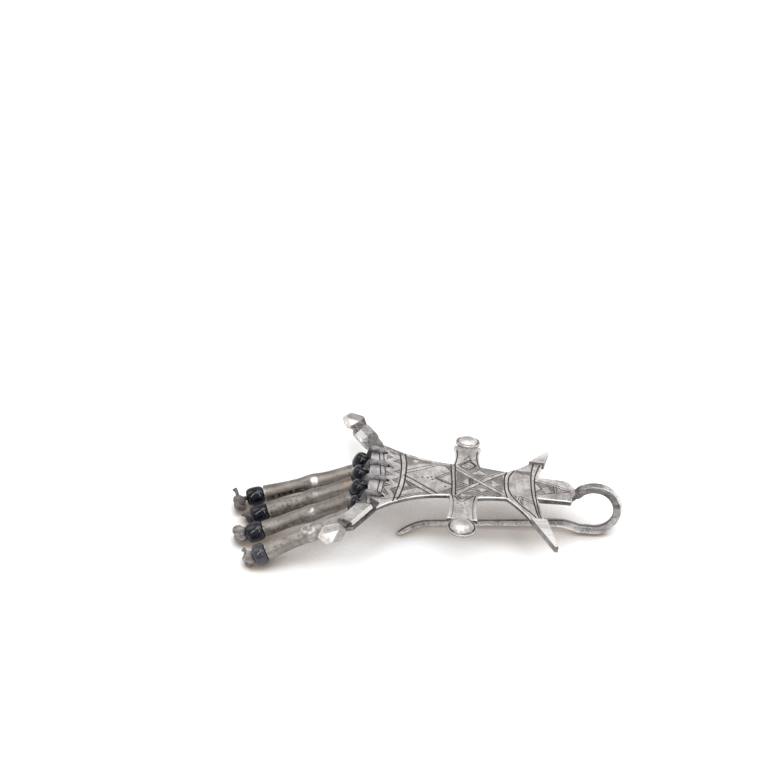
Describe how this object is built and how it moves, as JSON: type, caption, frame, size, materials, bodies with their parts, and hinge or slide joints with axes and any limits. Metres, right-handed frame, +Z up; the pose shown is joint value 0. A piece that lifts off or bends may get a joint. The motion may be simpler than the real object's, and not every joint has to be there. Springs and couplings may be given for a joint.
{
  "type": "hand-shaped drop earring",
  "caption": "Engraved silver drop earring in the shape of a hand, with finger tubes, black glass beads and an ear wire, lying on a table.",
  "frame": {"origin": "on the table, under the middle of the earring's outer box", "axes": "+X along the hand from the fingertips to the ear wire's loop, +Y to the far side of the hand, +Z up from the table"},
  "size_m": [0.09, 0.053, 0.0197],
  "materials": {
    "silver": "worn silver, bright on filed facets and edges, brown patina in the engraving",
    "tube_silver": "dull silver with dark stains",
    "black_glass": "glossy and opaque",
    "thong": "waxed, satin"
  },
  "bodies": {
    "root": {"hand_plate": "silver", "finger_tube_1": "tube_silver", "finger_tube_2": "tube_silver", "finger_tube_3": "tube_silver", "finger_tube_4": "tube_silver", "palm_bead_1": "black_glass", "palm_bead_2": "black_glass", "palm_bead_3": "black_glass", "palm_bead_4": "black_glass", "tip_bead_1": "black_glass", "tip_bead_2": "black_glass", "tip_bead_3": "black_glass", "tip_bead_4": "black_glass", "thong_1": "thong", "thong_2": "thong", "thong_3": "thong", "thong_4": "thong"}
  },
  "joints": []
}
